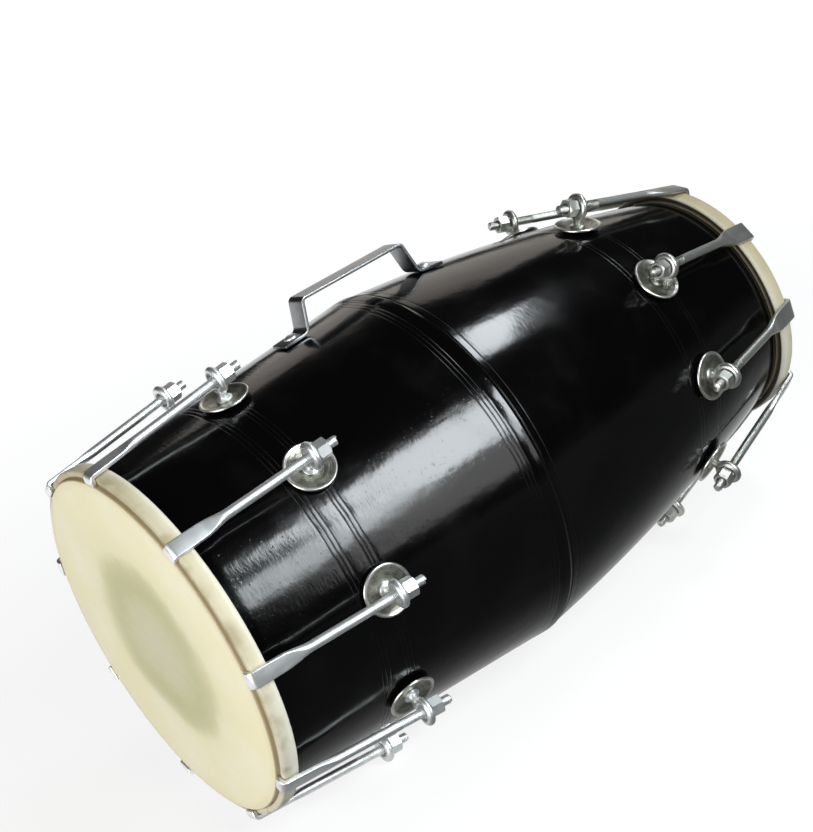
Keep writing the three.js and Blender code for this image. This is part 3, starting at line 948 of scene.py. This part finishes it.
# %% Place eighteen sets of hardware
random.seed(9)
FLAT_TURN = math.pi / 3
for name, line in LINES.items():
    plate = nickel if name == "bass" else dull_nickel
    seat = line["eye"] + line["inward"] * (EYE_WIRE / 2 + GAP)
    at_seat = axis_frame(seat, line["inward"])
    at_foot = axis_frame(line["foot"], -line["normal"])
    at_inner_nut = at_foot @ Matrix.Translation((inner_nut_place(line), 0, 0))
    for index in range(1, HOOKS + 1):
        station = station_frame(name, index)
        spin = Matrix.Rotation(random.uniform(0, FLAT_TURN), 4, "X")
        inner_spin = Matrix.Rotation(random.uniform(0, FLAT_TURN), 4, "X")
        hook, nut, eyebolt = (f"{name}_{kind}_{index}" for kind in ("hook", "nut", "eyebolt"))
        for title, mesh, place, metal, body, *node in (
                ("tension_hook", HOOK_MESHES[name], station, plate, hook, hook),
                ("tension_nut", nut_body, station @ at_seat @ spin, plate, nut, nut),
                ("tension_eyebolt", EYEBOLT_MESHES[name], station, plate, "drum", eyebolt),
                ("dished_washer", WASHER, station @ at_foot, pressed_nickel, "drum"),
                ("inner_nut", inner_nut_body, station @ (at_inner_nut @ inner_spin), plate,
                 "drum")):
            settle(mesh, f"{name}_{title}_{index}", place, metal, "plated_steel", body, *node)
print("Hardware pieces:", 5 * HOOKS * len(ENDS))

# %% [markdown]
# ## The handle
# The handle is one steel strip. Its two feet lie on the shell, its sides rise, and its top is
# straight, with a soft bend at each corner. It is skinned through sections like the hooks.
# The section stays the same all the way, but for the rounded ends.

# %% Bend the strip
GRIP_LENGTH, GRIP_PLACE, GRIP_HEIGHT, GRIP_WIDTH, GRIP_SHEET = 83, 220, 19.5, 18, 2.2
GRIP_BEND, HEEL_BEND, GRIP_SPLAY, FOOT, GRIP_LEAN = 4, 5, 3, 20, -10.7
STRIP_CORNER, END_TRIM = 0.6, 0.5
HANDLE_FRAME = DRUM_MM @ Matrix.Rotation(math.radians(GRIP_LEAN), 4, "X")


def foot_of(side):
    bend = GRIP_PLACE + side * (GRIP_LENGTH / 2 + GRIP_SPLAY)
    screw = bend + side * FOOT / 2
    radius, slope = surface_at(screw)
    return {"side": side, "bend": bend, "screw": screw, "slope": slope,
            "level": radius + GAP}


def fillet(before, corner, after, radius, steps=6):
    """Points of an arc that rounds a corner between two straight runs."""
    back, on = (before - corner).normalized(), (after - corner).normalized()
    half = math.acos(max(-1, min(1, back.dot(on)))) / 2
    reach = radius / math.tan(half)
    start, end = corner + back * reach, corner + on * reach
    centre = corner + (back + on).normalized() * (radius / math.sin(half))
    chord = [start.lerp(end, n / steps) - centre for n in range(steps + 1)]
    return [centre + point.normalized() * radius for point in chord]


def on_foot(foot, place):
    rise = (place - foot["screw"]) * foot["slope"]
    return Vector((place - drum_length / 2, foot["level"] + rise + GRIP_SHEET / 2))


def strip_path():
    middle = GRIP_SHEET / 2
    top, half = BELLY_RADIUS + GRIP_HEIGHT - middle, GRIP_LENGTH / 2 - middle
    tips = [on_foot(foot, foot["bend"] + foot["side"] * FOOT) for foot in FEET]
    heels = [on_foot(foot, foot["bend"] + foot["side"] * middle) for foot in FEET]
    shoulders = [Vector((GRIP_PLACE + foot["side"] * half - drum_length / 2, top))
                 for foot in FEET]
    corners = [tips[0], heels[0], *shoulders, heels[1], tips[1]]
    path = [corners[0]]
    radii = (HEEL_BEND, GRIP_BEND - middle, GRIP_BEND - middle, HEEL_BEND)
    for n, radius in enumerate(radii, 1):
        path += fillet(*corners[n - 1:n + 2], radius)
    return path + [corners[-1]]


def handle_mesh():
    path = strip_path()
    half_width, half_sheet = GRIP_WIDTH / 2, GRIP_SHEET / 2
    sections = []
    for n, point in enumerate(path):
        ahead = path[min(n + 1, len(path) - 1)] - path[max(n - 1, 0)]
        trim = END_TRIM if n in (0, len(path) - 1) else 0
        sections.append((point, math.atan2(ahead.y, ahead.x), half_width - trim,
                         half_sheet - trim * 0.6, STRIP_CORNER - trim * 0.5))
    ends = []
    for tip, on in ((0, 1), (-1, -2)):
        point = path[tip] + (path[on] - path[tip]).normalized() * STRIP_CORNER
        ends.append((point, sections[tip][1], half_width, half_sheet, STRIP_CORNER))
    shape = bmesh.new()
    skinned(shape, [sections[0], ends[0], *sections[1:-1], ends[1], sections[-1]])
    return meshed(shape, "handle_body", 40)


FEET = [foot_of(side) for side in (-1, 1)]
handle = settle(handle_mesh(), "carrying_handle", HANDLE_FRAME, shaded_chrome, "chromed_steel",
                "drum", "handle")
print("Handle faces:", len(handle.data.polygons))

# %% [markdown]
# ## Handle screws
# Each foot is held by one round-headed wood screw. The head is a low dome with a slot across
# it, and the shank runs into the wood. The slot is a real cut, made with a boolean.

# %% Turn the screws and cut their slots
SCREW_HEAD, SCREW_RISE, SCREW, SCREW_LENGTH, SCREW_POINT = 9, 2.5, 4, 10, 4
SLOT_WIDTH, SLOT_DEPTH, DOME_STEPS = 1.1, 1.2, 8
SCREW_TURNS = {"bass": 0.6, "treble": -0.4}


def screw_mesh():
    radius, end = SCREW_HEAD / 2, GRIP_SHEET + SCREW_LENGTH
    angles = [math.pi / 2 * n / DOME_STEPS for n in range(DOME_STEPS + 1)]
    dome = [(-SCREW_RISE * math.cos(angle), radius * math.sin(angle)) for angle in angles]
    shape = turned([*dome, (0.1, radius - 0.3), (0.1, SCREW / 2),
                    (end - SCREW_POINT, SCREW / 2), (end, 0)], 40)
    cutter = bmesh.new()
    bmesh.ops.create_cube(cutter, size=1, matrix=Matrix.LocRotScale(
        (-SCREW_RISE, 0, 0), None, (SLOT_DEPTH * 2, SLOT_WIDTH, SCREW_HEAD * 1.2)))
    blade = add("slot_cutter", meshed(cutter, "slot_cutter"))
    blank = add("screw_blank", meshed(shape, "screw_turned"))
    cut = blank.modifiers.new("slot", "BOOLEAN")
    cut.object, cut.operation, cut.solver = blade, "DIFFERENCE", "EXACT"
    evaluated = blank.evaluated_get(bpy.context.evaluated_depsgraph_get())
    result = bpy.data.meshes.new_from_object(evaluated)
    for item in (blade, blank):
        bpy.data.objects.remove(item)
    result.set_sharp_from_angle(angle=math.radians(40))
    return result


screw_body = screw_mesh()
for foot, (name, turn) in zip(FEET, SCREW_TURNS.items()):
    inwards = Vector((foot["slope"], -1)).normalized()
    start = Vector((foot["screw"] - drum_length / 2, foot["level"])) - inwards * GRIP_SHEET
    place = HANDLE_FRAME @ axis_frame(start, inwards) @ Matrix.Rotation(turn, 4, "X")
    settle(screw_body, f"handle_screw_{name}", place, nickel, "plated_steel", "drum")
print("Screw faces:", len(screw_body.polygons))

# %% [markdown]
# ## Camera
# The camera stands in front of the bass head, a little above the drum and rolled to one side,
# so that the drum runs up across the frame. Its place and turn come from matching the CAD
# model's hoops and eyes to the picture.

# %% Place the camera
SENSOR, FOCUS_PIXELS, PICTURE_PIXELS = 36, 1750, 813
CAMERA_PLACE = Vector((-303.14, -885.76, 527.6))
CAMERA_TURN = Euler([math.radians(angle) for angle in (63.7463, 16.0232, -38.053)])
camera_data = bpy.data.cameras.new("camera")
camera_data.sensor_fit, camera_data.sensor_width = "HORIZONTAL", SENSOR
camera_data.lens = SENSOR * FOCUS_PIXELS / PICTURE_PIXELS
camera_data.clip_start, camera_data.clip_end = 0.05, 60
camera = add("camera", camera_data)
camera.location = DRUM_FRAME @ CAMERA_PLACE
camera.rotation_euler = (DRUM.to_3x3() @ CAMERA_TURN.to_matrix()).to_euler()
scene.camera = camera
print("Lens, mm:", round(camera_data.lens, 2))

# %% [markdown]
# ## Floor, backdrop and light
# The drum stands on a plain floor that keeps its shadow. Floor and world are white to the
# camera. In mirrors the floor is white behind the drum and dim in front of it, and the world
# is dim. Glossy black shows only what it reflects, so the lamps are shapes: a tall softbox
# for the long highlight on the wide half, a wing that carries it on to the bass hoop, a dim
# panel for the grey band below, a side softbox for the short highlight on the narrow half, a
# broad one that faces the bass head, and a weak warm panel behind. Each has a point to aim
# at, a bearing round from straight behind, a height in degrees, a distance, a size, and how
# bright it should look.

# %% Build the studio


def on_shell(place, lean):
    """The point of the shell at a place, leant from the top towards the front."""
    radius = surface_at(place)[0]
    lean = math.radians(lean)
    return DRUM_FRAME @ Vector((place, -radius * math.sin(lean), radius * math.cos(lean)))


def softbox(name, aim, bearing, height, distance, size, brightness, tone=(1, 1, 1)):
    data = bpy.data.lights.new(name, "AREA")
    data.shape, data.size, data.size_y = "RECTANGLE", *size
    data.energy = brightness * math.pi * size[0] * size[1]
    data.color = tone
    lamp = add(name, data)
    bearing, height = math.radians(bearing), math.radians(height)
    away = Vector((math.sin(bearing) * math.cos(height), math.cos(bearing) * math.cos(height),
                   math.sin(height)))
    lamp.location = aim + away * distance
    lamp.rotation_euler = away.to_track_quat("Z", "Y").to_euler()


WIDE_PATCH, NARROW_PATCH = on_shell(161, 57), on_shell(262, 37)
MIDDLE = Vector((0, 0, 0.13))
COOL, WARM = (0.94, 1.01, 1.05), (1.06, 0.99, 0.92)
softbox("front_softbox", WIDE_PATCH, 153, 34.5, 1.7, (0.40, 0.70), 25, COOL)
softbox("wing_panel", WIDE_PATCH, 165, 26, 1.7, (0.24, 0.40), 17, COOL)
softbox("low_panel", WIDE_PATCH, 158, 12, 1.9, (0.5, 0.55), 3.2)
softbox("side_softbox", NARROW_PATCH, 94, 47, 1.7, (0.52, 0.23), 22, COOL)
softbox("head_softbox", MIDDLE, -112, 15, 2.2, (1.5, 1.5), 6.4)
softbox("rear_panel", MIDDLE, 36, 23, 2.2, (1.3, 1.1), 1.0, WARM)
FLOOR_HALF, ROOM_LIGHT, REAR_EDGE = 9, 0.022, (-0.16, 0.04)


def make_floor():
    f = Finish("white_floor")
    camera_ray, glossy_ray, clear_ray = f.outlets(
        f.node("LightPath"), "Is Camera Ray", "Is Glossy Ray", "Is Transmission Ray")
    spot = f.object_space()
    behind = f.node("SeparateXYZ", {"Vector": spot}, "Y").between(*REAR_EDGE)
    seen = camera_ray + clear_ray + glossy_ray * (0.03 + 0.97 * behind)
    # Near the drum the floor's glow is lowered a little: a painted soft shadow.
    white = 0.81 + 0.19 * f.length(spot).between(0.25, 1.4)
    matt = f.node("BsdfDiffuse", {"Color": 0.2 - 0.13 * glossy_ray * (1 - behind)})
    glow = f.node("Emission", {"Color": seen * white, "Strength": 1})
    f.node("OutputMaterial", {"Surface": f.node("AddShader", {0: matt, 1: glow})})
    return f.material


floor_shape = bmesh.new()
bmesh.ops.create_grid(floor_shape, x_segments=8, y_segments=8, size=FLOOR_HALF)
floor = add("studio_floor", meshed(floor_shape, "studio_floor"))
floor.data.materials.append(make_floor())

world = bpy.data.worlds.new("studio")
scene.world = world
world.use_nodes = True
tree = world.node_tree
tree.nodes.clear()
rays, level, sky, out = (tree.nodes.new("ShaderNode" + kind) for kind in (
    "LightPath", "MapRange", "Background", "OutputWorld"))
sky.inputs["Color"].default_value = (1, 1, 1, 1)
level.inputs["To Min"].default_value = ROOM_LIGHT
level.inputs["To Max"].default_value = 1
tree.links.new(rays.outputs["Is Camera Ray"], level.inputs["Value"])
tree.links.new(level.outputs["Result"], sky.inputs["Strength"])
tree.links.new(sky.outputs[0], out.inputs["Surface"])
scene.view_settings.view_transform = "Standard"
